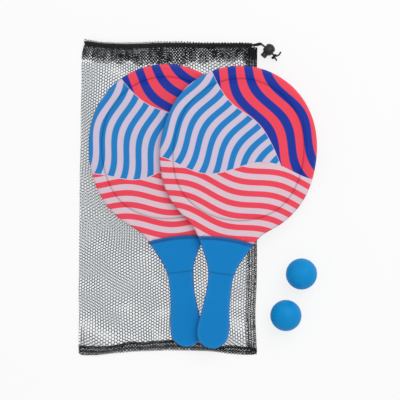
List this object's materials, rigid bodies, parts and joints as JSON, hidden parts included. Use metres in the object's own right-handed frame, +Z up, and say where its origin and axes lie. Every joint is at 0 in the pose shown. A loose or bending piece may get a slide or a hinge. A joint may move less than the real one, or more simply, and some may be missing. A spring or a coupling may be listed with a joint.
{
  "type": "beach paddle ball set",
  "caption": "Flat-laid beach paddle ball set: mesh drawstring bag with ball cord lock, crossed padded paddles on top and rubber balls beside it.",
  "frame": {"origin": "middle of the set's footprint on the surface it lies on", "axes": "+X across the bag to its cord lock side, +Y from the paddles' handles to their heads, +Z up from the surface"},
  "size_m": [0.319, 0.4173, 0.042],
  "materials": {
    "black_net": "knitted net",
    "black_binding": "woven, overlocked",
    "cord": "braided",
    "lock_plastic": "moulded, satin gloss",
    "spring_steel": "drawn wire",
    "frame_plastic": "moulded",
    "foam": "closed-cell foam",
    "printed_neoprene": "printed jersey on neoprene",
    "blue_neoprene": "jersey on neoprene",
    "ball_rubber": "moulded, matte"
  },
  "bodies": {
    "bag": {"bag_back_net": "black_net", "bag_front_net": "black_net", "left_fold": "black_binding", "side_seam": "black_binding", "bottom_seam": "black_binding", "mouth_casing_back": "black_binding", "mouth_casing_front": "black_binding", "drawstring": "cord", "drawstring_end_upper": "cord", "drawstring_end_lower": "cord", "knot": "cord", "knot_long_tail": "cord", "knot_short_tail": "cord"},
    "cord_lock": {"lock_body": "lock_plastic", "lock_spring": "spring_steel"},
    "lock_button": {"lock_button": "lock_plastic"},
    "rear_paddle": {"rear_paddle_frame": "frame_plastic", "rear_paddle_foam_pad": "foam", "rear_paddle_head_cover_top": "printed_neoprene", "rear_paddle_head_cover_under": "printed_neoprene", "rear_paddle_grip_cover_top": "blue_neoprene", "rear_paddle_grip_cover_under": "blue_neoprene"},
    "front_paddle": {"front_paddle_frame": "frame_plastic", "front_paddle_foam_pad": "foam", "front_paddle_head_cover_top": "printed_neoprene", "front_paddle_head_cover_under": "printed_neoprene", "front_paddle_grip_cover_top": "blue_neoprene", "front_paddle_grip_cover_under": "blue_neoprene"},
    "upper_ball": {"upper_ball": "ball_rubber"},
    "lower_ball": {"lower_ball": "ball_rubber"}
  },
  "joints": [
    {"name": "rear_paddle_lift", "type": "slide", "parent": "bag", "child": "rear_paddle", "axis": [0, 0, 1], "range_m": [0, 0.2]},
    {"name": "front_paddle_lift", "type": "slide", "parent": "rear_paddle", "child": "front_paddle", "axis": [0, 0, 1], "range_m": [0, 0.2]},
    {"name": "upper_ball_lift", "type": "slide", "parent": "bag", "child": "upper_ball", "axis": [0, 0, 1], "range_m": [0, 0.15]},
    {"name": "lower_ball_lift", "type": "slide", "parent": "bag", "child": "lower_ball", "axis": [0, 0, 1], "range_m": [0, 0.15]},
    {"name": "cord_lock_slide", "type": "slide", "parent": "bag", "child": "cord_lock", "axis": [-0.7408, 0.6717, 0], "range_m": [0, 0.003]},
    {"name": "lock_button_press", "type": "slide", "parent": "cord_lock", "child": "lock_button", "axis": [0.6717, 0.7408, 0], "range_m": [0, 0.002], "stiffness_N_per_m": 400, "springref_m": -0.002, "deforming": ["lock_spring"]}
  ]
}
